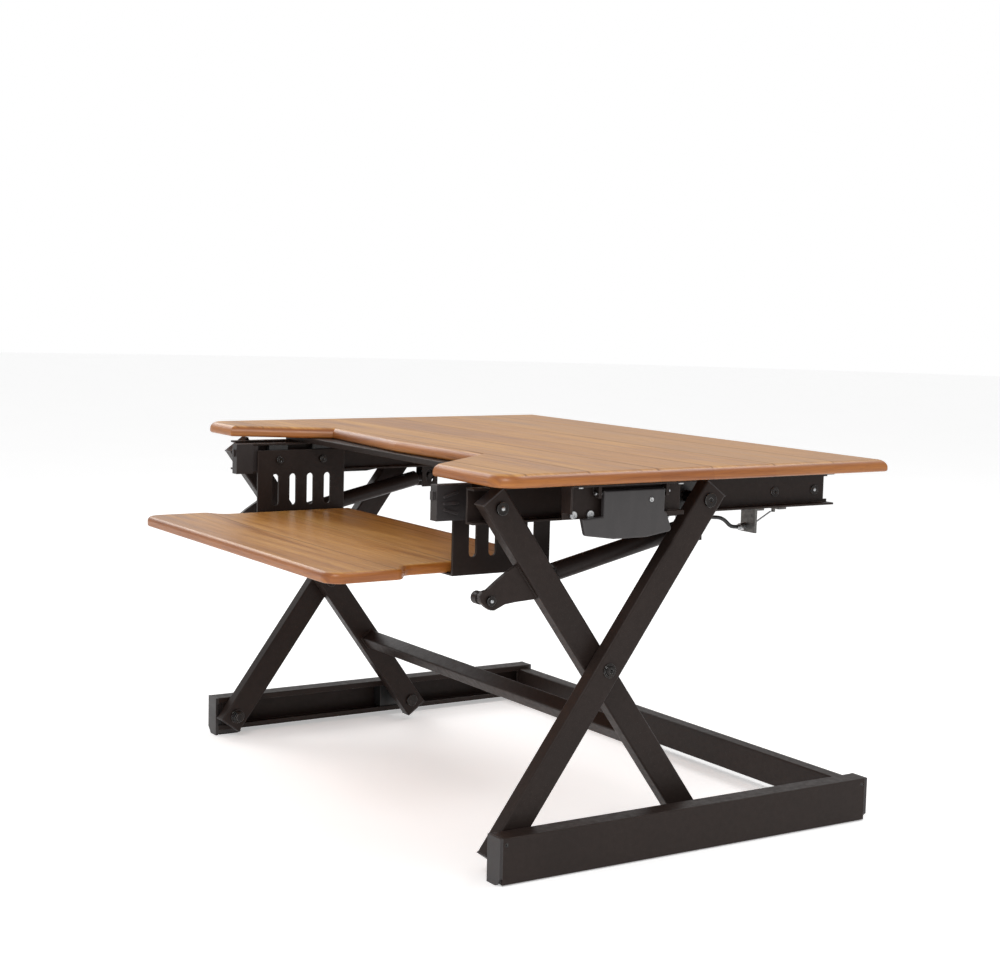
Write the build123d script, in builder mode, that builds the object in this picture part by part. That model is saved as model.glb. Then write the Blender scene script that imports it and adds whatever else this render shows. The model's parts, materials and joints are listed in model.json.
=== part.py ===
from build123d import *
import math
import os

# Standing desk converter: a U-shaped worktop on a rear-opening scissor lift, with a slide-back
# keyboard tray. Units are mm. +X is the user's right, +Y the back, +Z up. The origin is the
# middle of the footprint on the table. Every piece is drawn in the raised position.

os.makedirs("parts", exist_ok=True)

# ---------------------------------------------------------------- driving dimensions
front_y = -205.0          # front end of the base rails
half_width = 400.0        # half the width of the worktop and of the base
worktop_z = 460.0         # height of the worktop's upper face, raised
worktop_t = 15.0
tray_t = 13.0
worktop_front = front_y - 10.0
worktop_rear = front_y + 562.0
cutout_y = front_y + 98.0  # back edge of the user's cut-out, at its middle
cutout_x = -24.0          # middle of the cut-out
cutout_half = 176.0

rail_h = 55.0             # base rail height
rail_w = 26.5             # base rail width
rail_len = 552.0
sheet = 2.5               # rail sheet thickness

arm_len = 476.5           # between the two end pivots
arm_h = 34.0              # arm tube, tall side
arm_t = 20.0              # arm tube, thickness across
arm_end = 16.0            # tube past each end pivot
lift_deg = 54.1           # arm angle above the table, raised
outer_arm_x = 351.0       # inner face of the outer arms
inner_arm_x = 329.0       # inner face of the inner arms

pivot_y = front_y + 24.0  # both front pivots
base_pivot_z = 31.0
pin_r = 5.0               # arm pivot pins
run = 0.05                # radial running clearance

top_rail_x = 312.0        # inner face of the upper rails
top_rail_w = 15.5
top_rail_z0 = 396.5
top_rail_z1 = 437.5
top_rail_len = 541.0

key_rail_x = 266.0        # inner face of the keyboard rails
key_rail_w = 12.0
tray_z = 344.0            # upper face of the keyboard tray
tray_front = front_y - 152.0
tray_rear = front_y + 151.0

spring_x = 316.5          # centre plane of the gas springs
tube_r = 11.0
rod_r = 5.0
spring_pin_r = 4.0

# ---------------------------------------------------------------- derived points, side view (y, z)
lift = math.radians(lift_deg)
arm_dy = arm_len * math.cos(lift)
arm_dz = arm_len * math.sin(lift)
top_pivot_z = base_pivot_z + arm_dz
rear_pivot_y = pivot_y + arm_dy
cross_y = pivot_y + arm_dy / 2
cross_z = base_pivot_z + arm_dz / 2
lug_y = pivot_y - 7.5
lug_z = top_pivot_z - 105.0
eye_y = pivot_y + 292.0
eye_z = top_pivot_z - 38.0
board_z = worktop_z - worktop_t

cable_y = front_y + 203.0  # where the release cable crosses the arm planes
cable_z = 424.0

SIDES = (("left", -1), ("right", 1))
GRIP_SHIFT = {"left": 50.0, "right": 0.0}  # the left release grip sits further back


# ---------------------------------------------------------------- helpers
def outward(s, x):
    """Side-view plane at distance x from the middle; extrude s * t to grow outwards."""
    return Plane.YZ.offset(s * x)


def section(s, y):
    """Front-view plane at y whose x axis points outwards; extrude -s * length to go back."""
    return Plane(origin=(0, y, 0), x_dir=(s, 0, 0), z_dir=(0, -s, 0))


def rect(u0, u1, v0, v1, mode=Mode.ADD):
    """Rectangle in the current sketch, given by its two spans."""
    with Locations(((u0 + u1) / 2, (v0 + v1) / 2)):
        Rectangle(u1 - u0, v1 - v0, mode=mode)


def block(s, x, y, z, mode=Mode.ADD):
    """Box in the current part, given by its spans; x is measured outwards on side s."""
    x0, x1 = sorted((s * x[0], s * x[1]))
    with Locations(((x0 + x1) / 2, (y[0] + y[1]) / 2, (z[0] + z[1]) / 2)):
        Box(x1 - x0, y[1] - y[0], z[1] - z[0], mode=mode)


def cross_pin(s, y, z, x0, x1, r, mode=Mode.ADD):
    """Cylinder along x in the current part, from x0 to x1 outwards on side s."""
    with Locations(Location((s * (x0 + x1) / 2, y, z), (0, 90, 0))):
        Cylinder(r, x1 - x0, mode=mode)


def upright(x, y, z0, z1, r, mode=Mode.ADD):
    """Cylinder along z in the current part."""
    with Locations((x, y, (z0 + z1) / 2)):
        Cylinder(r, z1 - z0, mode=mode)


def save(builder, name):
    builder.part.label = name
    export_step(builder.part, f"parts/{name}.step")


# ---------------------------------------------------------------- base frame
def base_rail(s):
    """C section rail opening inwards, outer web reaching almost to the table."""
    outer = half_width
    inner = half_width - rail_w
    with BuildPart() as p:
        with BuildSketch(section(s, front_y + 4)):
            rect(outer - sheet, outer, 1.5, rail_h)
            rect(inner, outer, rail_h - sheet, rail_h)
            rect(inner, outer, 7.0, 9.5)
            rect(inner, inner + 2, rail_h - 8, rail_h)
            rect(inner, inner + 2, 7.0, 14.0)
        extrude(amount=-s * (rail_len - 8))
        fillet(p.edges().filter_by(Axis.Y).group_by(Axis.Z)[-1], 1.2)
        for y in (front_y + 9, front_y + rail_len - 9):
            cross_pin(s, y, 47.0, outer - 3, outer + 1, 2.6, Mode.SUBTRACT)
    return p


for side, s in SIDES:
    save(base_rail(s), f"base_rail_{side}")

with BuildPart() as base_end_caps:
    for side, s in SIDES:
        for y_face, d in ((front_y, 1), (front_y + rail_len, -1)):
            with BuildSketch(section(s, y_face)):
                rect(half_width - rail_w, half_width, 0.0, rail_h)
                with Locations((half_width, 0)):
                    RegularPolygon(9, 4, rotation=0, mode=Mode.SUBTRACT)
            extrude(amount=-s * d * 4)
            y0, y1 = sorted((y_face + d * 4, y_face + d * 11))
            block(s, (377, 397.4), (y0, y1), (9.6, 52.4))
            y0, y1 = sorted((y_face + d * 4, y_face + d * 40))
            block(s, (374, 397.0), (y0, y1), (2.0, 6.9))
            cross_pin(s, y_face + d * 9, 47.0, 388, 401, 2.2, Mode.SUBTRACT)
save(base_end_caps, "base_end_caps")

with BuildPart() as base_feet:
    for side, s in SIDES:
        for y in (front_y + 22, front_y + rail_len - 22):
            with Locations((s * 385.5, y, 1.0)):
                Box(20, 30, 2.0)
save(base_feet, "base_feet")

with BuildPart() as base_cap_screws:
    for side, s in SIDES:
        for y in (front_y + 9, front_y + rail_len - 9):
            cross_pin(s, y, 47.0, 388.2, 399.9, 2.2)
            cross_pin(s, y, 47.0, 397.6, 399.9, 2.6)
            cross_pin(s, y, 47.0, 398.7, 400.5, 1.2, Mode.SUBTRACT)
save(base_cap_screws, "base_cap_screws")

with BuildPart() as base_cross_bar:
    bar_y0 = front_y + rail_len - 24
    block(1, (-373.5, 373.5), (bar_y0, bar_y0 + 20), (10.0, 50.0))
    fillet(base_cross_bar.edges().filter_by(Axis.X), 2.0)
    block(1, (-380, 380), (bar_y0 + 1.6, bar_y0 + 18.4), (11.6, 48.4), Mode.SUBTRACT)
save(base_cross_bar, "base_cross_bar")

with BuildPart() as base_blocks:
    for side, s in SIDES:
        block(s, (375.7, 397.4), (pivot_y - 12, pivot_y + 12), (9.6, 52.4))
        cross_pin(s, pivot_y, base_pivot_z, 370, 400, pin_r, Mode.SUBTRACT)
        block(s, (369.5, 378.0), (bar_y0 + 2, bar_y0 + 12), (15.0, 46.0))
        block(s, (375.8, 378.0), (bar_y0 - 1, bar_y0 + 12), (9.6, 46.0))
        block(s, (375.8, 397.4), (bar_y0 - 1, bar_y0 + 12), (9.6, 12.0))
save(base_blocks, "base_blocks")

with BuildPart() as base_pivot_bolts:
    for side, s in SIDES:
        cross_pin(s, pivot_y, base_pivot_z, 346, 397, pin_r)
        cross_pin(s, pivot_y, base_pivot_z, 371.3, 375.6, 9.0)
        cross_pin(s, pivot_y, base_pivot_z, 348.8, 350.6, 10.0)
        with BuildSketch(outward(s, 348.8)):
            with Locations((pivot_y, base_pivot_z)):
                RegularPolygon(8.2, 6)
        extrude(amount=-s * 5.5)
        cross_pin(s, pivot_y, base_pivot_z, 340.8, 344, 5.2)
save(base_pivot_bolts, "base_pivot_bolts")


# ---------------------------------------------------------------- scissor arms
def arm(s, x_in, rising):
    """Rectangular tube between the two end pivots, open at both ends."""
    angle = lift_deg if rising else -lift_deg
    length = arm_len + 2 * arm_end
    ends = [(pivot_y, base_pivot_z), (rear_pivot_y, top_pivot_z)]
    if not rising:
        ends = [(pivot_y, top_pivot_z), (rear_pivot_y, base_pivot_z)]
    with BuildPart() as p:
        with BuildSketch(outward(s, x_in)):
            with Locations((cross_y, cross_z)):
                Rectangle(length, arm_h, rotation=angle)
        extrude(amount=s * arm_t)
        along = p.edges().group_by(SortBy.LENGTH)[-1]
        fillet(along, 2.5)
        with BuildSketch(outward(s, x_in + 2)):
            with Locations((cross_y, cross_z)):
                Rectangle(length + 4, arm_h - 4, rotation=angle)
        extrude(amount=s * (arm_t - 4), mode=Mode.SUBTRACT)
    return p, ends


def end_plugs(s, x_in, rising):
    """Plastic plugs closing the two tube ends."""
    sign = 1 if rising else -1
    u = (math.cos(lift), sign * math.sin(lift))
    angle = sign * lift_deg
    with BuildPart() as p:
        for d in (-1, 1):
            for reach, size, x0, t in (
                (arm_len / 2 + arm_end + 0.75, (1.5, arm_h), x_in, arm_t),
                (arm_len / 2 + arm_end - 2.5, (5.0, arm_h - 4.2), x_in + 2.1, arm_t - 4.2),
            ):
                with BuildSketch(outward(s, x0)):
                    with Locations((cross_y + d * reach * u[0], cross_z + d * reach * u[1])):
                        Rectangle(size[0], size[1], rotation=angle)
                extrude(amount=s * t)
    return p


for side, s in SIDES:
    tube, ends = arm(s, outer_arm_x, True)
    with tube:
        for y, z in ends:
            r = pin_r + run if z < 200 else pin_r
            cross_pin(s, y, z, outer_arm_x - 1, outer_arm_x + arm_t + 1, r, Mode.SUBTRACT)
        cross_pin(s, cross_y, cross_z, outer_arm_x - 1, outer_arm_x + arm_t + 1, pin_r,
                  Mode.SUBTRACT)
    save(tube, f"outer_arm_{side}")

    tube, ends = arm(s, inner_arm_x, False)
    with tube:
        for y, z in ends:
            r = pin_r if z < 200 else pin_r + run
            cross_pin(s, y, z, inner_arm_x - 1, inner_arm_x + arm_t + 1, r, Mode.SUBTRACT)
        cross_pin(s, cross_y, cross_z, inner_arm_x - 1, inner_arm_x + arm_t + 1, pin_r + run,
                  Mode.SUBTRACT)
    save(tube, f"inner_arm_{side}")

for name, x_in, rising in (("outer", outer_arm_x, True), ("inner", inner_arm_x, False)):
    with BuildPart() as plugs:
        for side, s in SIDES:
            add(end_plugs(s, x_in, rising).part)
    save(plugs, f"{name}_arm_plugs")

bar_share = 0.737         # place of the cross bar along the inner arms, from the top pivot
bar_y = pivot_y + bar_share * arm_dy
bar_z = top_pivot_z - bar_share * arm_dz
with BuildPart() as inner_cross_bar:
    with BuildSketch(Plane.YZ.offset(-inner_arm_x)):
        with Locations((bar_y, bar_z)):
            Rectangle(20, 20, rotation=-lift_deg)
    extrude(amount=2 * inner_arm_x)
    fillet(inner_cross_bar.edges().filter_by(Axis.X), 2.0)
    with BuildSketch(Plane.YZ.offset(-inner_arm_x)):
        with Locations((bar_y, bar_z)):
            Rectangle(16.4, 16.4, rotation=-lift_deg)
    extrude(amount=2 * inner_arm_x, mode=Mode.SUBTRACT)
save(inner_cross_bar, "inner_cross_bar")

# bolts at the crossings, carried by the outer arms
with BuildPart() as cross_pivot_bolts:
    for side, s in SIDES:
        outer = outer_arm_x + arm_t
        cross_pin(s, cross_y, cross_z, inner_arm_x - 0.4, outer, pin_r)
        cross_pin(s, cross_y, cross_z, inner_arm_x - 1.2, inner_arm_x - 0.3, 7.5)
        cross_pin(s, cross_y, cross_z, inner_arm_x + arm_t + 0.3, outer_arm_x, 11.0)
        cross_pin(s, cross_y, cross_z, outer, outer + 1.2, 8.5)
        cross_pin(s, cross_y, cross_z, outer + 1.2, outer + 3.8, 6.2)
        rims = cross_pivot_bolts.edges().filter_by(GeomType.CIRCLE).sort_by(Axis.X)
        fillet(rims[-1 if s > 0 else 0], 1.5)
        with BuildSketch(outward(s, outer + 1.8)):
            with Locations((cross_y, cross_z)):
                RegularPolygon(2.6, 6)
        extrude(amount=s * 3, mode=Mode.SUBTRACT)
save(cross_pivot_bolts, "cross_pivot_bolts")

with BuildPart() as upper_glide_pins:
    for side, s in SIDES:
        cross_pin(s, rear_pivot_y, top_pivot_z, 316.4, outer_arm_x + arm_t, pin_r)
        cross_pin(s, rear_pivot_y, top_pivot_z, 328.2, outer_arm_x, 7.5)
        cross_pin(s, rear_pivot_y, top_pivot_z, outer_arm_x + arm_t, 373.4, 8.5)
        cross_pin(s, rear_pivot_y, top_pivot_z, 372.2, 374.0, 3.0, Mode.SUBTRACT)
save(upper_glide_pins, "upper_glide_pins")

with BuildPart() as lower_glide_pins:
    for side, s in SIDES:
        cross_pin(s, rear_pivot_y, base_pivot_z, inner_arm_x - 1, 396.0, pin_r)
        cross_pin(s, rear_pivot_y, base_pivot_z, inner_arm_x - 3.4, inner_arm_x, 8.5)
        cross_pin(s, rear_pivot_y, base_pivot_z, inner_arm_x + arm_t, 372.6, 7.5)
save(lower_glide_pins, "lower_glide_pins")


# ---------------------------------------------------------------- glides in the rails
def glide(s, y, z, x0, x1, length, height):
    """Nylon shoe with rounded ends and two grease grooves, bored for its pin."""
    with BuildPart() as p:
        block(s, (x0, x1), (y - length / 2, y + length / 2), (z - height / 2, z + height / 2))
        fillet(p.edges().filter_by(Axis.X), 5.0)
        for d in (-1, 1):
            block(s, (x0 - 1, x1 + 1), (y - 1, y + 1),
                  sorted((z + d * (height / 2 - 1.2), z + d * (height / 2 + 1))), Mode.SUBTRACT)
        cross_pin(s, y, z, x0 - 1, x1 + 1, pin_r + run, Mode.SUBTRACT)
    return p


for side, s in SIDES:
    save(glide(s, rear_pivot_y, base_pivot_z, 376.2, 397.0, 56, 42.2), f"lower_glide_{side}")
    save(glide(s, rear_pivot_y, top_pivot_z, 316.2, 327.2, 54, 35.2), f"upper_glide_{side}")


# ---------------------------------------------------------------- gas spring lugs on the inner arms
def arm_edge(t):
    """Point on the inner arms' lower front edge, t along the arm from the top pivot."""
    y = pivot_y + t * math.cos(lift) - arm_h / 2 * math.sin(lift)
    z = top_pivot_z - t * math.sin(lift) - arm_h / 2 * math.cos(lift)
    return y, z


LUG_OUTLINE = ((23.5, 31.5), (12.5, 24.5), (2.5, 17), (-3.5, 12.5), (-10.5, 10.5), (-14.5, 6.5),
               (-12.5, -0.5), (-6.5, -6.5), (0, -10.8), (5.5, -11.4), (11.5, -8.8), (19.5, -5.4),
               (33.5, -3.8))
for side, s in SIDES:
    with BuildPart() as lug:
        with BuildSketch(outward(s, 336.0)) as lug_shape:
            with BuildLine():
                Polyline(arm_edge(70),
                         *[(lug_y + dy, lug_z + dz) for dy, dz in LUG_OUTLINE],
                         arm_edge(120), arm_edge(70))
            make_face()
        extrude(amount=s * 6.0)
        cross_pin(s, lug_y, lug_z, 330, 345, spring_pin_r, Mode.SUBTRACT)
    save(lug, f"spring_lug_{side}")

with BuildPart() as spring_lug_bolts:
    for side, s in SIDES:
        cross_pin(s, lug_y, lug_z, 309.0, 345.0, spring_pin_r)
        cross_pin(s, lug_y, lug_z, 323.0, 336.0, 6.5)
        cross_pin(s, lug_y, lug_z, 342.0, 345.4, 5.5)
        cross_pin(s, lug_y, lug_z, 344.2, 347.0, 2.4, Mode.SUBTRACT)
save(spring_lug_bolts, "spring_lug_bolts")

# ---------------------------------------------------------------- gas springs
spring_len = math.hypot(eye_y - lug_y, eye_z - lug_z)
spring_u = ((eye_y - lug_y) / spring_len, (eye_z - lug_z) / spring_len)


def spring_plane(s, along):
    """Plane across the spring's axis, at a distance from the lug eye, facing the rear eye."""
    y = lug_y + along * spring_u[0]
    z = lug_z + along * spring_u[1]
    return Plane(origin=(s * spring_x, y, z), x_dir=(1, 0, 0), z_dir=(0, *spring_u))


for side, s in SIDES:
    with BuildPart() as rod:
        with BuildSketch(spring_plane(s, 8.0)):
            Circle(rod_r)
        extrude(amount=142)
        with BuildSketch(spring_plane(s, 140.0)):
            Circle(8.1)
        extrude(amount=8)
    save(rod, f"spring_rod_{side}")

    with BuildPart() as rod_eye:
        cross_pin(s, lug_y, lug_z, spring_x - 5, spring_x + 5, 7.5)
        with BuildSketch(spring_plane(s, 2.0)):
            Circle(6.2)
        extrude(amount=14)
        with BuildSketch(spring_plane(s, 7.9)):
            Circle(rod_r)
        extrude(amount=9, mode=Mode.SUBTRACT)
        cross_pin(s, lug_y, lug_z, 308, 325, spring_pin_r + run, Mode.SUBTRACT)
    save(rod_eye, f"spring_rod_eye_{side}")

    with BuildPart() as tube:
        with BuildSketch(spring_plane(s, spring_len - 204)):
            Circle(tube_r)
        extrude(amount=184)
        chamfer(tube.edges().filter_by(GeomType.CIRCLE), 1.0)
        with BuildSketch(spring_plane(s, spring_len - 198)):
            Circle(tube_r - 1.5)
        extrude(amount=172, mode=Mode.SUBTRACT)
        with BuildSketch(spring_plane(s, spring_len - 206)):
            Circle(rod_r + run)
        extrude(amount=12, mode=Mode.SUBTRACT)
    save(tube, f"spring_tube_{side}")

    with BuildPart() as rear_eye:
        cross_pin(s, eye_y, eye_z, spring_x - 6, spring_x + 6, 9.0)
        with BuildSketch(spring_plane(s, spring_len - 20)):
            Circle(6.5)
        extrude(amount=14)
        cross_pin(s, eye_y, eye_z, 305.6, 328.0, spring_pin_r)
    save(rear_eye, f"spring_rear_eye_{side}")

# ---------------------------------------------------------------- upper frame
for side, s in SIDES:
    outer = top_rail_x + top_rail_w
    with BuildPart() as rail:
        with BuildSketch(section(s, front_y)):
            rect(top_rail_x, top_rail_x + sheet, top_rail_z0, top_rail_z1)
            rect(top_rail_x, outer, top_rail_z0, top_rail_z0 + sheet)
            rect(top_rail_x, outer, top_rail_z1 - sheet, top_rail_z1)
        extrude(amount=-s * top_rail_len)
        block(s, (top_rail_x - 1, top_rail_x + 4),
              (front_y + top_rail_len - 6, front_y + top_rail_len + 1),
              (top_rail_z0 + 6, top_rail_z1 - 6), Mode.SUBTRACT)
        cross_pin(s, pivot_y, top_pivot_z, 310, 316, pin_r, Mode.SUBTRACT)
        block(s, (310, 316), (cable_y - 6, cable_y + 16), (416, 430), Mode.SUBTRACT)
        for y in (eye_y - 38, eye_y - 16):
            upright(s * 319, y, 396, 400, 3.0, Mode.SUBTRACT)
        for y in (front_y + 453, front_y + 519):
            cross_pin(s, y, 415.0, 310, 316, 3.0, Mode.SUBTRACT)
    save(rail, f"top_rail_{side}")

with BuildPart() as top_rail_bolts:
    for side, s in SIDES:
        cross_pin(s, pivot_y, top_pivot_z, 309.0, 350.5, pin_r)
        cross_pin(s, pivot_y, top_pivot_z, 306.0, 312.0, 8.0)
        cross_pin(s, pivot_y, top_pivot_z, 314.5, inner_arm_x - 0.3, 8.0)
        cross_pin(s, pivot_y, top_pivot_z, inner_arm_x + arm_t + 0.3, 352.6, 7.5)
        cross_pin(s, pivot_y, top_pivot_z, 351.2, 353.0, 3.0, Mode.SUBTRACT)
        for y in (front_y + 453, front_y + 519):
            cross_pin(s, y, 415.0, 308.0, 315.0, 3.0)
            cross_pin(s, y, 415.0, 314.5, 315.7, 6.0)
            cross_pin(s, y, 415.0, 307.0, 312.0, 5.5)
            with BuildSketch(outward(s, 315.7)):
                with Locations((y, 415.0)):
                    RegularPolygon(2.6, 6)
            extrude(amount=-s * 1.0, mode=Mode.SUBTRACT)
save(top_rail_bolts, "top_rail_bolts")


def cross_member(y0, y1):
    """Shallow channel between the rails and the worktop."""
    reach = top_rail_x + top_rail_w
    with BuildPart() as p:
        block(1, (-reach, reach), (y0, y1), (top_rail_z1, board_z))
        fillet(p.edges().filter_by(Axis.X).group_by(Axis.Z)[-1], 1.0)
        block(1, (-reach - 1, reach + 1), (y0 + 2, y1 - 2), (top_rail_z1 - 1, board_z - 2),
              Mode.SUBTRACT)
        for x in (-290, -100, 100, 290):
            upright(x, (y0 + y1) / 2, board_z - 3, board_z + 1, 2.5, Mode.SUBTRACT)
    return p


front_member = (front_y + 86, front_y + 131)
rear_member = (front_y + 440, front_y + 485)
save(cross_member(*front_member), "top_cross_member_front")
save(cross_member(*rear_member), "top_cross_member_rear")

with BuildPart() as worktop_screws:
    for y in (sum(front_member) / 2, sum(rear_member) / 2):
        for x in (-290, -100, 100, 290):
            upright(x, y, board_z - 2.5, board_z + 10, 2.5)
            upright(x, y, board_z - 4.6, board_z - 2, 4.5)
save(worktop_screws, "worktop_screws")

with BuildPart() as worktop:
    with BuildSketch(Plane.XY.offset(board_z)) as worktop_shape:
        with BuildLine():
            Polyline((-half_width, worktop_rear), (-half_width, worktop_front),
                     (cutout_x - cutout_half - 106, worktop_front),
                     (cutout_x - cutout_half - 30, cutout_y + 13), (cutout_x, cutout_y - 3),
                     (cutout_x + cutout_half + 12, cutout_y + 8),
                     (cutout_x + cutout_half + 102, worktop_front),
                     (half_width, worktop_front), (half_width, worktop_rear),
                     (-half_width, worktop_rear))
        make_face()
        corners = worktop_shape.vertices()
        sides = corners.filter_by(lambda v: abs(v.X) > half_width - 1)
        fillet(sides.filter_by(lambda v: v.Y < 0), 28)
        fillet(sides.filter_by(lambda v: v.Y > 0), 24)
        inside = corners.filter_by(lambda v: abs(v.X) < half_width - 1)
        fillet(inside.filter_by(lambda v: v.Y < worktop_front + 1), 110)
        fillet(inside.filter_by(lambda v: v.Y > cutout_y), 32)
        fillet(inside.filter_by(lambda v: abs(v.X - cutout_x) < 1), 900)
    extrude(amount=worktop_t)
    fillet(worktop.faces().sort_by(Axis.Z)[-1].edges(), 10.0)
    fillet(worktop.faces().sort_by(Axis.Z)[0].edges(), 3.0)
    for y in (sum(front_member) / 2, sum(rear_member) / 2):
        for x in (-290, -100, 100, 290):
            upright(x, y, board_z - 1, board_z + 10, 2.5, Mode.SUBTRACT)
    for side, s in SIDES:
        for y in (front_y + 104, front_y + 246):
            upright(s * 386, y + GRIP_SHIFT[side], board_z - 1, board_z + 10, 2.0, Mode.SUBTRACT)
save(worktop, "worktop")

# ---------------------------------------------------------------- keyboard rails, brackets and tray
key_rail_rear = front_y + 485
for side, s in SIDES:
    outer = key_rail_x + key_rail_w
    with BuildPart() as key_rail:
        with BuildSketch(section(s, front_y + 6)):
            rect(outer - sheet, outer, top_rail_z0, top_rail_z1)
            rect(key_rail_x, outer, top_rail_z0, top_rail_z0 + sheet)
            rect(key_rail_x, outer, top_rail_z1 - sheet, top_rail_z1)
        extrude(amount=-s * (key_rail_rear - front_y - 6))
    save(key_rail, f"keyboard_rail_{side}")

with BuildPart() as keyboard_rail_caps:
    for side, s in SIDES:
        outer = key_rail_x + key_rail_w
        block(s, (key_rail_x - 0.6, outer + 1.5), (front_y - 19, front_y + 6), (396.0, 437.5))
        block(s, (outer, outer + 1.5), (front_y + 6, front_y + 27), (396.0, 437.5))
        block(s, (key_rail_x + 1, outer - sheet), (front_y + 6, front_y + 14),
              (top_rail_z0 + sheet, top_rail_z1 - sheet))
        block(s, (key_rail_x + 3, outer - 3), (front_y - 22, front_y - 19), (420, 430))
        for z, tilt in ((406.5, -17), (416.0, 1), (426.0, 16)):
            with Locations(Location((s * (outer + 2.1), front_y - 0.5, z), (tilt, 0, 0))):
                Box(2.4, 19, 2.6)
save(keyboard_rail_caps, "keyboard_rail_caps")

slot_pitch = 27.0
plate_z0 = tray_z - tray_t - 2.0
plate_y0 = front_y + 12
plate_y1 = front_y + 147
for side, s in SIDES:
    with BuildPart() as bracket:
        with BuildSketch(outward(s, 262.4)):
            rect(plate_y0, plate_y1, plate_z0, 428.0)
            with Locations(*[(plate_y0 + 27 + slot_pitch * i, 372.2) for i in range(4)]):
                SlotOverall(44.5, 10, rotation=90, mode=Mode.SUBTRACT)
        extrude(amount=s * 3.0)
        block(s, (232.0, 262.4), (plate_y0, plate_y1), (plate_z0, plate_z0 + 2.0))
        for y in (plate_y0 + 22, plate_y1 - 22):
            upright(s * 242, y, plate_z0 - 1, plate_z0 + 3, 2.5, Mode.SUBTRACT)
        for y in (front_y + 45, front_y + 112):
            cross_pin(s, y, 414.0, 261, 267, 3.0, Mode.SUBTRACT)
    save(bracket, f"tray_bracket_{side}")

with BuildPart() as tray_glides:
    for side, s in SIDES:
        for y in (front_y + 45, front_y + 112):
            block(s, (265.4, 275.1), (y - 14, y + 14), (399.4, 434.6))
            cross_pin(s, y, 414.0, 265, 273, 3.0, Mode.SUBTRACT)
save(tray_glides, "tray_glides")

with BuildPart() as keyboard_tray:
    with BuildSketch(Plane.XY.offset(tray_z - tray_t)) as tray_shape:
        with BuildLine():
            Polyline((0, tray_front), (276, tray_front), (276, front_y - 66))
            Bezier((276, front_y - 66), (276, front_y - 50), (252, front_y - 54),
                   (252, front_y - 34))
            Polyline((252, front_y - 34), (252, tray_rear), (0, tray_rear), (0, tray_front))
        make_face()
        mirror(about=Plane.YZ)
        nose = tray_shape.vertices().filter_by(lambda v: v.Y < tray_front + 1 and abs(v.X) > 200)
        fillet(nose, 22)
    extrude(amount=tray_t)
    fillet(keyboard_tray.faces().sort_by(Axis.Z)[-1].edges(), 6.0)
    fillet(keyboard_tray.faces().sort_by(Axis.Z)[0].edges(), 2.5)
    for x in (-242, 242):
        for y in (plate_y0 + 22, plate_y1 - 22):
            upright(x, y, plate_z0 + 1, plate_z0 + 11, 2.5, Mode.SUBTRACT)
save(keyboard_tray, "keyboard_tray")

with BuildPart() as tray_fasteners:
    for side, s in SIDES:
        for y in (plate_y0 + 22, plate_y1 - 22):
            upright(s * 242, y, plate_z0, plate_z0 + 11, 2.5)
            upright(s * 242, y, plate_z0 - 1.4, plate_z0, 4.5)
        for y in (front_y + 45, front_y + 112):
            cross_pin(s, y, 414.0, 262.0, 272.0, 3.0)
            cross_pin(s, y, 414.0, 259.6, 262.4, 5.0)
            cross_pin(s, y, 414.0, 259.0, 261.0, 2.4, Mode.SUBTRACT)
save(tray_fasteners, "tray_fasteners")

# ---------------------------------------------------------------- gas spring rear brackets
for side, s in SIDES:
    with BuildPart() as holder:
        block(s, (304.0, 327.5), (eye_y - 46, eye_y + 14), (394.0, top_rail_z0))
        for x0, x1 in ((306.6, 309.2), (323.8, 326.4)):
            with BuildSketch(outward(s, x0)):
                rect(eye_y - 13, eye_y + 13, eye_z - 17, 394.0)
                with Locations((eye_y, eye_z - 1.5)):
                    SlotOverall(21, 12.8, rotation=90, mode=Mode.SUBTRACT)
            extrude(amount=s * (x1 - x0))
        for y in (eye_y - 38, eye_y - 16):
            upright(s * 319, y, 393, 397, 3.0, Mode.SUBTRACT)
    save(holder, f"spring_holder_{side}")

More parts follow.
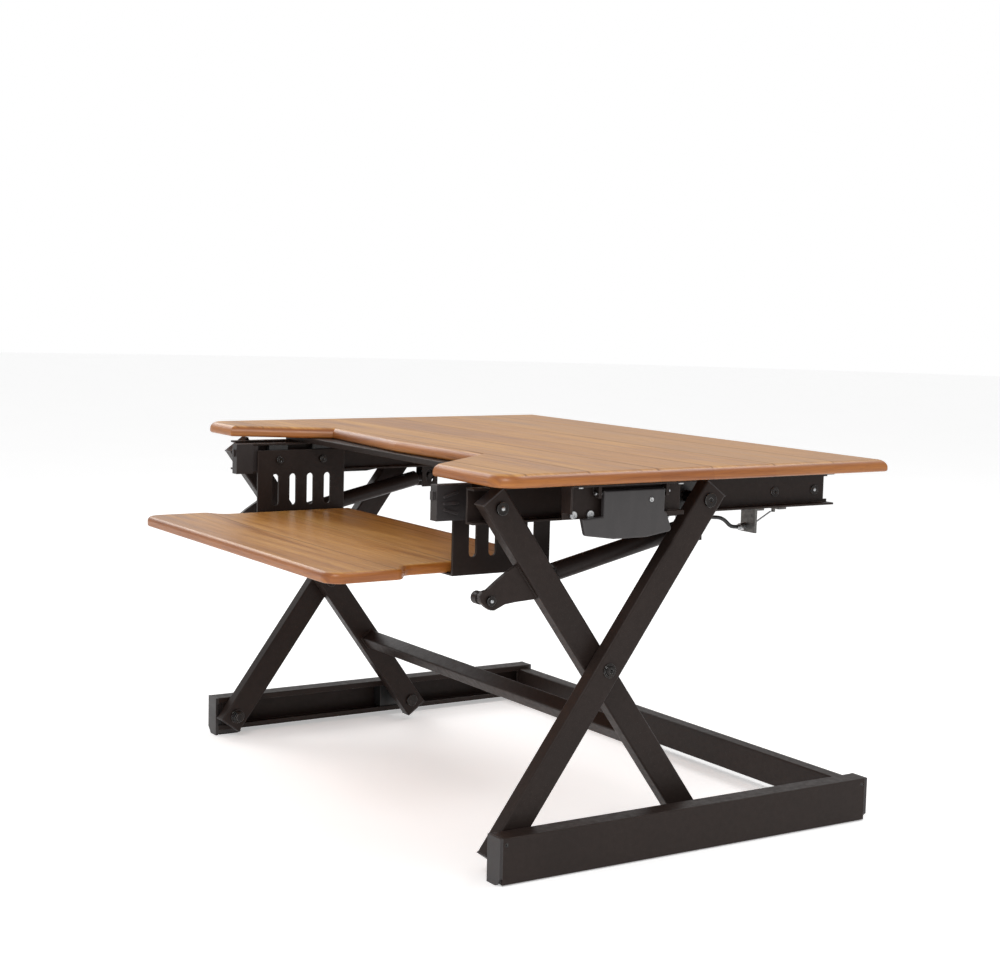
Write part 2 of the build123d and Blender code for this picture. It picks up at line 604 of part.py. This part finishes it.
# ---------------------------------------------------------------- squeeze grips under the side edges
grip_x = 382.0            # hinge line of the grips
grip_z = 433.0
for side, s in SIDES:
    grip_y = front_y + GRIP_SHIFT[side]
    with BuildPart() as plate:
        block(s, (373.6, 396.0), (grip_y + 88, grip_y + 254), (board_z - 2.5, board_z))
        block(s, (373.6, 376.0), (grip_y + 88, grip_y + 254), (404.0, board_z - 2.5))
        block(s, (376.0, 392.0), (grip_y + 88, grip_y + 90.5), (412.0, board_z - 2.5))
        for y in (grip_y + 130, grip_y + 226):
            block(s, (376.0, 386.5), (y, y + 4), (428.0, board_z - 2.5))
            with Locations(Location((s * grip_x, y + 2, grip_z), (90, 0, 0))):
                Cylinder(2.5, 8, mode=Mode.SUBTRACT)
        block(s, (376.0, 384.5), (grip_y + 229, grip_y + 254), (404.0, 409.0))
        for y in (grip_y + 104, grip_y + 246):
            upright(s * 386, y, board_z - 3, board_z + 1, 2.0, Mode.SUBTRACT)
        cross_pin(s, cable_y, cable_z, 372, 378, 2.6, Mode.SUBTRACT)
        for y in (grip_y + 101.5, grip_y + 125):
            cross_pin(s, y, 409.0, 372, 378, 3.0, Mode.SUBTRACT)
    save(plate, f"grip_bracket_{side}")

    with BuildPart() as grip:
        with BuildSketch(outward(s, grip_x + 0.5)) as paddle:
            with BuildLine():
                Polyline((grip_y + 107, 405), (grip_y + 112, 386), (grip_y + 152, 380.5),
                         (grip_y + 198, 380.5), (grip_y + 235, 386), (grip_y + 226, 409),
                         (grip_y + 223, 410), (grip_y + 223, 436.5), (grip_y + 136.5, 436.5),
                         (grip_y + 136.5, 407), (grip_y + 107, 405))
            make_face()
            fillet(paddle.vertices().filter_by(lambda v: v.Y < 400), 4.0)
        extrude(amount=s * 6)
        fillet(grip.faces().sort_by(Axis.X)[-1 if s > 0 else 0].edges(), 2.0)
        with Locations(Location((s * grip_x, grip_y + 180, grip_z), (90, 0, 0))):
            Cylinder(4.8, 86.5)
            Cylinder(2.55, 100, mode=Mode.SUBTRACT)
    save(grip, f"squeeze_grip_{side}")

with BuildPart() as grip_hinge_pins:
    for side, s in SIDES:
        grip_y = front_y + GRIP_SHIFT[side]
        with Locations(Location((s * grip_x, grip_y + 180, grip_z), (90, 0, 0))):
            Cylinder(2.5, 106)
save(grip_hinge_pins, "grip_hinge_pins")

with BuildPart() as bracket_screws:
    for side, s in SIDES:
        for y in (eye_y - 38, eye_y - 16):
            upright(s * 319, y, 391.6, 399.0, 3.0)
            upright(s * 319, y, 391.4, 394.0, 4.6)
        grip_y = front_y + GRIP_SHIFT[side]
        for y in (grip_y + 104, grip_y + 246):
            upright(s * 386, y, board_z - 2.5, board_z + 9, 2.0)
            upright(s * 386, y, board_z - 4.7, board_z - 2.5, 4.0)
        for y in (grip_y + 101.5, grip_y + 125):
            cross_pin(s, y, 409.0, 373.6, 377.0, 3.0)
            cross_pin(s, y, 409.0, 376.0, 378.8, 4.6)
            cross_pin(s, y, 409.0, 378.0, 380.0, 2.0, Mode.SUBTRACT)
save(bracket_screws, "bracket_screws")

# ---------------------------------------------------------------- release cables
cable_x = 300.0
stop_x = 306.0
stop_z = 372.0
cable_top = 384.5         # height where the cable passes over the folded cross bar
with BuildPart() as release_cables:
    for side, s in SIDES:
        corners = ((379.0, cable_y, cable_z), (cable_x, cable_y, cable_z),
                   (cable_x, front_y + 288, 402.0), (303.0, front_y + 338, cable_top + 3.5),
                   (305.0, front_y + 378, cable_top), (stop_x, front_y + 391, stop_z + 1),
                   (stop_x, front_y + 400.9, stop_z))
        with BuildLine() as route:
            FilletPolyline(*[(s * x, y, z) for x, y, z in corners],
                           radius=[35.6, 60.0, 60.0, 23.8, 13.8])
        with BuildSketch(Plane(origin=route.line @ 0, z_dir=route.line % 0)):
            Circle(2.4)
        sweep(path=route.line)
save(release_cables, "release_cables")

with BuildPart() as cable_brackets:
    for side, s in SIDES:
        block(s, (300, 327.5), (front_y + 412, front_y + 415), (366.0, top_rail_z0))
        block(s, (312, 327.5), (front_y + 412, front_y + 426), (394.0, top_rail_z0))
        block(s, (306, 327.5), (front_y + 450, front_y + 462), (394.0, top_rail_z0))
        upright(s * 310, front_y + 456, 389.0, 394.0, 2.5)
        with Locations(Location((s * stop_x, front_y + 413, stop_z), (90, 0, 0))):
            Cylinder(2.9, 8, mode=Mode.SUBTRACT)
save(cable_brackets, "cable_brackets")

with BuildPart() as cable_ends:
    for side, s in SIDES:
        for y0, y1, r in ((401.4, 424, 2.9), (405, 411.9, 4.6), (415.1, 418, 4.6)):
            with Locations(Location((s * stop_x, front_y + (y0 + y1) / 2, stop_z), (90, 0, 0))):
                Cylinder(r, y1 - y0)
        cross_pin(s, cable_y, cable_z, 379.0, 382.0, 3.4)
        with BuildLine() as wire:
            Line((s * stop_x, front_y + 423, stop_z), (s * 309.2, front_y + 452.4, 389.4))
        with BuildSketch(Plane(origin=wire.line @ 0, z_dir=wire.line % 0)):
            Circle(1.1)
        sweep(path=wire.line)
save(cable_ends, "cable_ends")
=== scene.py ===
import json
import math

import bmesh
import bpy
from mathutils import Matrix, Vector


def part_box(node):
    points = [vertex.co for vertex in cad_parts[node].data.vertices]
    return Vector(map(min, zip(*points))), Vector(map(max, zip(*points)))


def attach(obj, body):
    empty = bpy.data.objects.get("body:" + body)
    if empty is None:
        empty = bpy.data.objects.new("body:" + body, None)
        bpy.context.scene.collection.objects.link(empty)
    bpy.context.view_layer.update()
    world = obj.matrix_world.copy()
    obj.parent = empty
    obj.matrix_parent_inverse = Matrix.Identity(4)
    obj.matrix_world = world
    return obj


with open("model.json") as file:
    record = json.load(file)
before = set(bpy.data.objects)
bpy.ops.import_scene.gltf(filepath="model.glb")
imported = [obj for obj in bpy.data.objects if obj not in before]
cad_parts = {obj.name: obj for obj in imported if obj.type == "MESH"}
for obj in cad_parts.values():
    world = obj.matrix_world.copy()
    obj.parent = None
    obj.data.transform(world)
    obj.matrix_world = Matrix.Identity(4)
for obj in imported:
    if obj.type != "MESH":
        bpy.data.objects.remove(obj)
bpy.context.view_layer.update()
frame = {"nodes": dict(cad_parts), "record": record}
nodes = frame["nodes"]
scene = bpy.context.scene


# ------------------------------------------------------------------ shader helpers
class Shader:
    """A material's node tree with short calls for the nodes that this scene uses."""

    def __init__(self, name):
        self.mat = bpy.data.materials.new(name)
        self.mat.use_nodes = True
        self.tree = self.mat.node_tree
        self.bsdf = self.tree.nodes["Principled BSDF"]
        self.coords = self.add("ShaderNodeTexCoord")

    def add(self, kind, **settings):
        n = self.tree.nodes.new(kind)
        for key, value in settings.items():
            setattr(n, key, value)
        return n

    def feed(self, socket, value):
        if isinstance(value, bpy.types.NodeSocket):
            self.tree.links.new(value, socket)
        elif value is not None:
            socket.default_value = value

    def math(self, op, a, b=None, c=None, clamp=False):
        n = self.add("ShaderNodeMath", operation=op, use_clamp=clamp)
        for socket, value in zip(n.inputs, (a, b, c)):
            self.feed(socket, value)
        return n.outputs[0]

    def place(self, scale=(1, 1, 1), rotation=(0, 0, 0), location=(0, 0, 0), source=None):
        n = self.add("ShaderNodeMapping")
        self.feed(n.inputs["Vector"], source or self.coords.outputs["Object"])
        n.inputs["Scale"].default_value = scale
        n.inputs["Rotation"].default_value = rotation
        n.inputs["Location"].default_value = location
        return n.outputs[0]

    def noise(self, vector, scale, detail=3.0, rough=0.5, distort=0.0):
        n = self.add("ShaderNodeTexNoise")
        self.feed(n.inputs["Vector"], vector)
        n.inputs["Scale"].default_value = scale
        n.inputs["Detail"].default_value = detail
        n.inputs["Roughness"].default_value = rough
        n.inputs["Distortion"].default_value = distort
        return n.outputs[0]

    def span(self, value, lo, hi, to_lo=0.0, to_hi=1.0):
        n = self.add("ShaderNodeMapRange")
        self.feed(n.inputs["Value"], value)
        for key, x in (("From Min", lo), ("From Max", hi), ("To Min", to_lo), ("To Max", to_hi)):
            n.inputs[key].default_value = x
        return n.outputs[0]

    def mix(self, factor, a, b, blend="MIX"):
        n = self.add("ShaderNodeMix", data_type="RGBA", blend_type=blend)
        self.feed(n.inputs[0], factor)
        self.feed(n.inputs[6], a)
        self.feed(n.inputs[7], b)
        return n.outputs[2]

    def ramp(self, factor, stops):
        n = self.add("ShaderNodeValToRGB")
        self.feed(n.inputs[0], factor)
        while len(n.color_ramp.elements) < len(stops):
            n.color_ramp.elements.new(0.5)
        for element, (at, colour) in zip(n.color_ramp.elements, stops):
            element.position = at
            element.color = (*colour, 1)
        return n.outputs[0]

    def edges(self, radius):
        """(rounded normal, mask that is 1 on convex and concave edges)."""
        bevel = self.add("ShaderNodeBevel", samples=4)
        bevel.inputs["Radius"].default_value = radius
        flat = self.add("ShaderNodeNewGeometry").outputs["Normal"]
        dot = self.add("ShaderNodeVectorMath", operation="DOT_PRODUCT")
        self.feed(dot.inputs[0], bevel.outputs[0])
        self.feed(dot.inputs[1], flat)
        return bevel.outputs[0], self.span(dot.outputs["Value"], 0.995, 0.80)

    def bump(self, height, distance, strength=1.0, normal=None):
        n = self.add("ShaderNodeBump")
        self.feed(n.inputs["Height"], height)
        n.inputs["Distance"].default_value = distance
        n.inputs["Strength"].default_value = strength
        self.feed(n.inputs["Normal"], normal)
        return n.outputs[0]

    def done(self, colour, rough, normal=None, **fixed):
        self.feed(self.bsdf.inputs["Base Color"], colour)
        self.feed(self.bsdf.inputs["Roughness"], rough)
        self.feed(self.bsdf.inputs["Normal"], normal)
        for key, value in fixed.items():
            self.bsdf.inputs[key.replace("_", " ")].default_value = value
        return self.mat


def rgb(r, g, b):
    """sRGB 0-255 to a linear RGBA colour."""
    lin = [c / 12.92 if c <= 0.04045 else ((c + 0.055) / 1.055) ** 2.4
           for c in (r / 255, g / 255, b / 255)]
    return (*lin, 1)


# ------------------------------------------------------------------ materials
def painted_steel(name, base, wear_glint_colour, rough, grain, spec):
    """Powder coat or paint: orange peel, dusty patches, and lighter edges that are partly wear from
    rubbing and partly a painted highlight.
    """
    m = Shader(name)
    patches = m.noise(m.place(), 9, 4, 0.6)
    mottle = m.noise(m.place(), 140, 3, 0.6)
    peel = m.noise(m.place(), grain, 2, 0.45)
    specks = m.noise(m.place(), 1500, 2, 0.7)
    rounded, edge = m.edges(0.0016)
    # edges broken up by noise: lightened as wear and as a painted highlight on the fillets
    edge_wear_and_glint = m.math("MULTIPLY", edge, m.span(m.noise(m.place(), 70, 5, 0.7), 0.38, 0.62))
    tone = m.mix(m.span(patches, 0.3, 0.7), base, tuple(c * 1.3 for c in base[:3]) + (1,))
    tone = m.mix(m.span(mottle, 0.35, 0.7, 0, 0.35), tone, tuple(c * 0.72 for c in base[:3]) + (1,))
    tone = m.mix(m.span(specks, 0.66, 0.74, 0, 0.5), tone, wear_glint_colour)
    # painted highlight and wear: the masked edges take the lighter colour
    tone = m.mix(m.math("MULTIPLY", edge_wear_and_glint, 0.55), tone, wear_glint_colour)
    shine = m.math("ADD", m.span(mottle, 0.3, 0.7, rough - 0.06, rough + 0.08),
                   m.span(patches, 0.3, 0.7, -0.04, 0.05))
    shine = m.math("SUBTRACT", shine, m.math("MULTIPLY", edge_wear_and_glint, 0.12))
    relief = m.math("ADD", peel, m.math("MULTIPLY", specks, 0.4))
    return m.done(tone, shine, m.bump(relief, 0.00012, 0.5, rounded), Specular_IOR_Level=spec)


def moulded(name, base, rough, grain, spec=0.4, depth=0.00008):
    """Moulded plastic: fine spark texture, faint flow marks, smoother corners, and a painted
    highlight on edges and ribs.
    """
    m = Shader(name)
    cells = m.add("ShaderNodeTexVoronoi")
    m.feed(cells.inputs["Vector"], m.place())
    cells.inputs["Scale"].default_value = grain
    flow = m.noise(m.place((6, 40, 14)), 1, 4, 0.6, 1.5)
    fine = m.noise(m.place(), grain * 1.7, 2, 0.5)
    rounded, edge = m.edges(0.0009)
    tone = m.mix(m.span(flow, 0.3, 0.7), base, tuple(c * 1.35 for c in base[:3]) + (1,))
    tone = m.mix(m.span(fine, 0.4, 0.7, 0, 0.4), tone, tuple(c * 0.7 for c in base[:3]) + (1,))
    # painted highlight: edges and ribs lightened to six times the base colour
    tone = m.mix(m.math("MULTIPLY", edge, 0.45), tone, tuple(c * 6 for c in base[:3]) + (1,))
    shine = m.math("SUBTRACT", m.span(flow, 0.3, 0.7, rough - 0.05, rough + 0.08),
                   m.math("MULTIPLY", edge, 0.1))
    relief = m.math("ADD", cells.outputs["Distance"], m.math("MULTIPLY", fine, 0.6))
    return m.done(tone, shine, m.bump(relief, depth, 0.6, rounded), Specular_IOR_Level=spec)


def plated(name, base, tint, rough):
    """Zinc or chrome plate: cloudy bloom, fine scratches, and a painted highlight that lightens
    edges and creases.
    """
    m = Shader(name)
    cloud = m.noise(m.place(), 160, 4, 0.65)
    lines = m.noise(m.place((900, 60, 900), (0.3, 0.2, 0.5)), 1, 3, 0.6)
    rounded, edge = m.edges(0.0005)
    tone = m.mix(m.span(cloud, 0.3, 0.7), base, tint)
    # painted highlight: edges and creases lightened towards white
    tone = m.mix(m.math("MULTIPLY", edge, 0.35), tone, (0.95, 0.95, 0.94, 1))
    shine = m.math("ADD", m.span(cloud, 0.3, 0.7, rough - 0.06, rough + 0.1),
                   m.span(lines, 0.4, 0.6, -0.05, 0.05))
    return m.done(tone, shine, m.bump(lines, 0.00003, 0.35, rounded), Metallic=1.0)


def plank_wood(name):
    """Oiled laminate in strips along X: per-strip colour, streaky grain, dark joints."""
    m = Shader(name)
    apart = m.add("ShaderNodeSeparateXYZ")
    m.feed(apart.inputs[0], m.coords.outputs["Object"])
    x, y, z = apart.outputs
    facing = m.add("ShaderNodeSeparateXYZ")
    m.feed(facing.inputs[0], m.coords.outputs["Normal"])
    side = m.math("GREATER_THAN", m.math("ABSOLUTE", facing.outputs[0]), 0.62)
    up = m.math("GREATER_THAN", facing.outputs[2], 0.80)

    # strips of uneven width; each has its own tone and its own stretch of grain
    sway = m.span(m.noise(m.place((1.2, 9, 1)), 1, 2, 0.5), 0, 1, -0.25, 0.25)
    row = m.math("ADD", m.math("MULTIPLY", y, 11.2), sway)
    strip = m.math("FLOOR", row)
    chance = m.add("ShaderNodeTexWhiteNoise", noise_dimensions="1D")
    m.feed(chance.inputs["W"], strip)
    luck = chance.outputs["Value"]

    def grain_space(along, across):
        n = m.add("ShaderNodeCombineXYZ")
        m.feed(n.inputs[0], m.math("ADD", along, m.math("MULTIPLY", luck, 3.7)))
        m.feed(n.inputs[1], across)
        m.feed(n.inputs[2], m.math("MULTIPLY", luck, 9.0))
        return n.outputs[0]

    face = grain_space(x, m.math("ADD", y, m.math("MULTIPLY", z, 0.6)))
    rim = m.add("ShaderNodeCombineXYZ")
    m.feed(rim.inputs[0], y)
    m.feed(rim.inputs[1], z)
    m.feed(rim.inputs[2], 4.0)
    swap = m.add("ShaderNodeMix", data_type="VECTOR")
    m.feed(swap.inputs[0], side)
    m.feed(swap.inputs[4], face)
    m.feed(swap.inputs[5], rim.outputs[0])
    space = swap.outputs[1]

    broad = m.noise(m.place((2.2, 34, 1), source=space), 1, 4, 0.55, 0.8)
    streak = m.noise(m.place((5, 170, 1), source=space), 1, 5, 0.62, 0.5)
    hair = m.noise(m.place((22, 900, 1), source=space), 1, 3, 0.6)
    pore = m.noise(m.place((60, 1900, 1), source=space), 1, 2, 0.5)

    mixed = m.math("ADD", m.math("MULTIPLY", broad, 0.55), m.math("MULTIPLY", streak, 0.45))
    wood = m.ramp(mixed, ((0.30, rgb(132, 88, 46)[:3]), (0.44, rgb(172, 124, 72)[:3]),
                          (0.54, rgb(190, 144, 88)[:3]), (0.68, rgb(208, 166, 110)[:3])))
    wood = m.mix(m.span(luck, 0, 1, 0.0, 0.42), wood, rgb(180, 130, 78), "MULTIPLY")
    wood = m.mix(m.span(luck, 0.55, 1, 0, 0.26), wood, rgb(226, 192, 140))
    wood = m.mix(m.span(hair, 0.50, 0.72, 0, 0.40), wood, rgb(120, 78, 40))
    wood = m.mix(m.span(pore, 0.60, 0.70, 0, 0.40), wood, rgb(88, 54, 28))

    # joints between strips, soft and broken, only on the upper and lower faces
    gap = m.math("ABSOLUTE", m.math("SUBTRACT", m.math("FRACT", row), 0.5))
    joint = m.math("MULTIPLY", m.span(gap, 0.478, 0.494),
                   m.span(m.noise(m.place((3, 30, 1)), 1, 2, 0.5), 0.30, 0.52))
    joint = m.math("MULTIPLY", joint, m.math("SUBTRACT", 1.0, side))
    wood = m.mix(m.math("MULTIPLY", joint, 0.60), wood, rgb(88, 54, 30))

    # faces that do not face up, the moulded edge and the underside, are made darker and more orange
    # than the top: a warmer edge tone and painted shade
    edge_tone_and_shade = m.mix(0.75, wood, rgb(214, 170, 118), "MULTIPLY")
    wood = m.mix(up, edge_tone_and_shade, wood)
    wood = m.mix(0.9, wood, rgb(255, 237, 190), "MULTIPLY")
    rounded, edge = m.edges(0.0012)
    # painted highlight along the rounded edges, broken up by the streaks
    wood = m.mix(m.math("MULTIPLY", edge, m.span(streak, 0.4, 0.7, 0.0, 0.35)), wood,
                 rgb(226, 186, 140))

    shine = m.math("ADD", m.span(broad, 0.3, 0.7, 0.34, 0.44), m.span(hair, 0.4, 0.7, -0.02, 0.08))
    shine = m.math("ADD", shine, m.math("MULTIPLY", joint, 0.2))
    relief = m.math("SUBTRACT", m.math("MULTIPLY", streak, 0.35),
                    m.math("ADD", m.span(pore, 0.56, 0.72), m.math("MULTIPLY", joint, 2.0)))
    return m.done(wood, shine, m.bump(relief, 0.00010, 0.5, rounded),
                  Specular_IOR_Level=0.5, Coat_Weight=0.2, Coat_Roughness=0.3)


STEEL = rgb(40, 32, 29)
finish = {
    "frame_steel": painted_steel("Frame steel", STEEL, rgb(112, 104, 100), 0.38, 620, 0.15),
    "black_plastic": moulded("Black plastic", rgb(42, 38, 38), 0.42, 1100, 0.4),
    "grip_plastic": moulded("Grip plastic", rgb(50, 47, 47), 0.34, 800, 0.5),
    "nylon": moulded("Nylon", rgb(38, 38, 38), 0.30, 420, 0.5, 0.00003),
    "rubber_feet": moulded("Rubber", rgb(30, 30, 30), 0.75, 700, 0.2),
    "zinc_bolts": plated("Zinc plate", rgb(196, 196, 194), rgb(165, 167, 172), 0.30),
    "chrome_rod": plated("Chrome rod", rgb(206, 208, 210), rgb(184, 186, 190), 0.12),
    "spring_paint": painted_steel("Spring paint", rgb(37, 30, 28), rgb(92, 88, 86), 0.34, 620, 0.18),
    "black_bolts": plated("Black oxide", rgb(58, 55, 53), rgb(44, 42, 42), 0.34),
    "cable_sheath": moulded("Cable sheath", rgb(30, 29, 29), 0.32, 1500, 0.5, 0.00003),
    "wood_board": plank_wood("Plank wood"),
}
dull_zinc = plated("Dull zinc", rgb(118, 116, 113), rgb(92, 91, 90), 0.42)
slots = {row["node"]: row["material_slot"] for row in frame["record"]["subparts"]}
for name, obj in nodes.items():
    obj.data.materials.clear()
    obj.data.materials.append(dull_zinc if name == "cable_brackets" else finish[slots[name]])

# ------------------------------------------------------------------ small modelled pieces
def place_piece(name, bm, body, slot):
    """Turns a bmesh in the row frame into a piece that rides on a CAD body."""
    bmesh.ops.recalc_face_normals(bm, faces=bm.faces)
    mesh = bpy.data.meshes.new(name)
    bm.to_mesh(mesh)
    bm.free()
    for face in mesh.polygons:
        face.use_smooth = True
    mesh.materials.append(finish[slot])
    obj = bpy.data.objects.new(name, mesh)
    scene.collection.objects.link(obj)
    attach(obj, body)


def turned(name, body, slot, side, y, z, profile, around=24):
    """Turned piece on an axis along X; profile is (distance outwards, radius) in mm."""
    bm = bmesh.new()
    rings = []
    for x, r in profile:
        ring = []
        for i in range(around):
            a = 2 * math.pi * i / around
            ring.append(bm.verts.new((side * x / 1000, (y + r * math.cos(a)) / 1000,
                                      (z + r * math.sin(a)) / 1000)))
        rings.append(ring)
    for a, b in zip(rings, rings[1:]):
        for i in range(around):
            j = (i + 1) % around
            bm.faces.new((a[i], a[j], b[j], b[i]))
    bm.faces.new(rings[0])
    bm.faces.new(rings[-1])
    place_piece(name, bm, body, slot)


def weld(name, body, points, radius=1.7, ripple=2.6):
    """Weld bead along a path of points in mm, with overlapping ripples; half of it is sunk."""
    path = [Vector(p) for p in points]
    bm = bmesh.new()
    previous = None
    travelled = 0.0
    for a, b in zip(path, path[1:]):
        along = (b - a).normalized()
        across = along.orthogonal().normalized()
        other = along.cross(across)
        count = max(3, int((b - a).length / 0.65))
        for k in range(count + 1):
            here = a + (b - a) * k / count
            phase = (travelled + (b - a).length * k / count) / ripple
            r = radius * (0.86 + 0.22 * (phase % 1.0))
            if (k == 0 and a == path[0]) or (k == count and b == path[-1]):
                r *= 0.45
            ring = [bm.verts.new((here + (across * math.cos(t) + other * math.sin(t)) * r) / 1000)
                    for t in [2 * math.pi * i / 10 for i in range(10)]]
            if previous:
                for i in range(10):
                    j = (i + 1) % 10
                    bm.faces.new((previous[i], previous[j], ring[j], ring[i]))
            else:
                bm.faces.new(ring)
            previous = ring
        travelled += (b - a).length
    bm.faces.new(previous)
    place_piece(name, bm, body, "frame_steel")


LIFT = math.radians(54.1)           # angle of the arms above the table
ARM_LENGTH = 476.5                  # between the end pivots, mm
ARM_HALF = 17.3                     # half the arm's height, with a little of the bead
PIVOT_Y, BASE_PIVOT_Z = -181.0, 31.0
TOP_PIVOT_Z = BASE_PIVOT_Z + ARM_LENGTH * math.sin(LIFT)
LUG_Y, LUG_Z = PIVOT_Y - 7.5, TOP_PIVOT_Z - 105.0
CABLE_Y, CABLE_Z = -2.0, 424.0      # where the release cables leave the grips
STUD = ((0, 1.0), (1.6, 1.0), (2.3, 0.86), (2.6, 0.6), (2.6, 0.0001))
for side, hand in ((-1, "left"), (1, "right")):
    for label, body, x, y, z, r in (
            ("top_pivot", "top_frame", 351.4, PIVOT_Y, TOP_PIVOT_Z, 2.5),
            ("base_pivot", "base", 344.0, PIVOT_Y, BASE_PIVOT_Z, 2.5),
            ("spring_lug", "inner_arms", 344.4, LUG_Y, LUG_Z, 2.25)):
        turned(f"stud_{label}_{hand}", body, "zinc_bolts", side, y, z,
               [(x + d, r * k) for d, k in STUD])
    turned(f"rail_nut_{hand}", "top_frame", "zinc_bolts", side, 314.0, 415.0,
           ((314.8, 2.3), (316.0, 2.3), (316.1, 2.0), (316.1, 0.0001)), around=6)
    turned(f"cable_nipple_{hand}", f"squeeze_grip_{hand}", "zinc_bolts", side, CABLE_Y, CABLE_Z,
           ((388.0, 2.9), (389.4, 2.9), (389.8, 2.5), (389.8, 1.5), (388.8, 1.3), (388.8, 0.0001)))

# weld beads: round the cross bar's ends, and along each lug's seam with its arm
LUG_SEAM = [(342.4, PIVOT_Y + t * math.cos(LIFT) - ARM_HALF * math.sin(LIFT),
             TOP_PIVOT_Z - t * math.sin(LIFT) - ARM_HALF * math.cos(LIFT)) for t in (71, 119)]
BAR_HALF = 0.0104                   # half the bar's side and a little of the bead, m
CROSS_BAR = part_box("inner_cross_bar")
ARM_SLOPE = Vector((0, math.cos(LIFT), -math.sin(LIFT)))
middle = (Vector(CROSS_BAR[0]) + Vector(CROSS_BAR[1])) / 2
for side, hand in ((-1, "left"), (1, "right")):
    up_face = ARM_SLOPE.cross(Vector((1, 0, 0)))
    corners = [middle + ARM_SLOPE * a * BAR_HALF + up_face * b * BAR_HALF
               for a, b in ((-1, -1), (1, -1), (1, 1), (-1, 1), (-1, -1))]
    weld(f"weld_cross_bar_{hand}", "inner_arms",
         [(side * 328.6, c.y * 1000, c.z * 1000) for c in corners], 1.6)
    weld(f"weld_lug_{hand}", "inner_arms",
         [(side * x, y, z) for x, y, z in LUG_SEAM], 1.5)

# ------------------------------------------------------------------ studio
FLOOR_RADIUS = 14.0
bm = bmesh.new()
bmesh.ops.create_circle(bm, cap_ends=True, segments=96, radius=FLOOR_RADIUS)
floor_mesh = bpy.data.meshes.new("studio_floor")
bm.to_mesh(floor_mesh)
bm.free()
floor = bpy.data.objects.new("studio_floor", floor_mesh)
scene.collection.objects.link(floor)
paper = Shader("Studio paper")
fibre = paper.noise(paper.place(), 3, 4, 0.5)
floor_mesh.materials.append(paper.done(
    paper.mix(fibre, (0.90, 0.90, 0.90, 1), (0.94, 0.94, 0.94, 1)), 0.8, Specular_IOR_Level=0.1,
    Emission_Color=(1, 1, 1, 1), Emission_Strength=0.38))

SKY_LIGHT = 0.62          # what lights the scene; the camera sees plain white
world = bpy.data.worlds.new("Studio")
world.use_nodes = True
sky = world.node_tree.nodes["Background"]
sky.inputs[0].default_value = (1, 1, 1, 1)
seen = world.node_tree.nodes.new("ShaderNodeLightPath").outputs["Is Camera Ray"]
strength = world.node_tree.nodes.new("ShaderNodeMapRange")
world.node_tree.links.new(seen, strength.inputs["Value"])
strength.inputs["To Min"].default_value = SKY_LIGHT
strength.inputs["To Max"].default_value = 1.0
world.node_tree.links.new(strength.outputs["Result"], sky.inputs[1])
scene.world = world


def softbox(name, place, aim, size, power):
    """Rectangular area light at place, turned towards aim."""
    light = bpy.data.lights.new(name, "AREA")
    light.shape = "RECTANGLE"
    light.size, light.size_y = size
    light.energy = power
    obj = bpy.data.objects.new(name, light)
    obj.location = place
    obj.rotation_euler = (Vector(aim) - Vector(place)).to_track_quat("-Z", "Y").to_euler()
    scene.collection.objects.link(obj)


softbox("key_light", (1.5, -1.65, 2.3), (0, 0, 0.3), (0.9, 0.9), 26)
softbox("left_light", (-2.5, -0.3, 1.9), (0, 0, 0.3), (1.6, 1.2), 20)
softbox("back_light", (0.35, 1.7, 2.75), (0, 0, 0.35), (1.4, 0.9), 24)

# ------------------------------------------------------------------ camera
# where the camera looks from the part: its direction, and its place in metres
azimuth, down, roll = math.radians(57.36), math.radians(6.3), math.radians(1.37)
forward = Vector((-math.sin(azimuth) * math.cos(down), math.cos(azimuth) * math.cos(down),
                  -math.sin(down)))
level = Vector((math.cos(azimuth), math.sin(azimuth), 0))
above = level.cross(forward)
right = level * math.cos(roll) + above * math.sin(roll)
top = above * math.cos(roll) - level * math.sin(roll)
lens = bpy.data.cameras.new("photo_camera")
lens.lens = 65.74
lens.sensor_width = 36.0
lens.sensor_fit = "HORIZONTAL"
lens.clip_end = 100
camera = bpy.data.objects.new("photo_camera", lens)
turn = Matrix((right, top, -forward)).transposed().to_4x4()
camera.matrix_world = Matrix.Translation((2.0498, -1.2731, 0.6626)) @ turn
scene.collection.objects.link(camera)
scene.camera = camera
scene.view_settings.view_transform = "Standard"
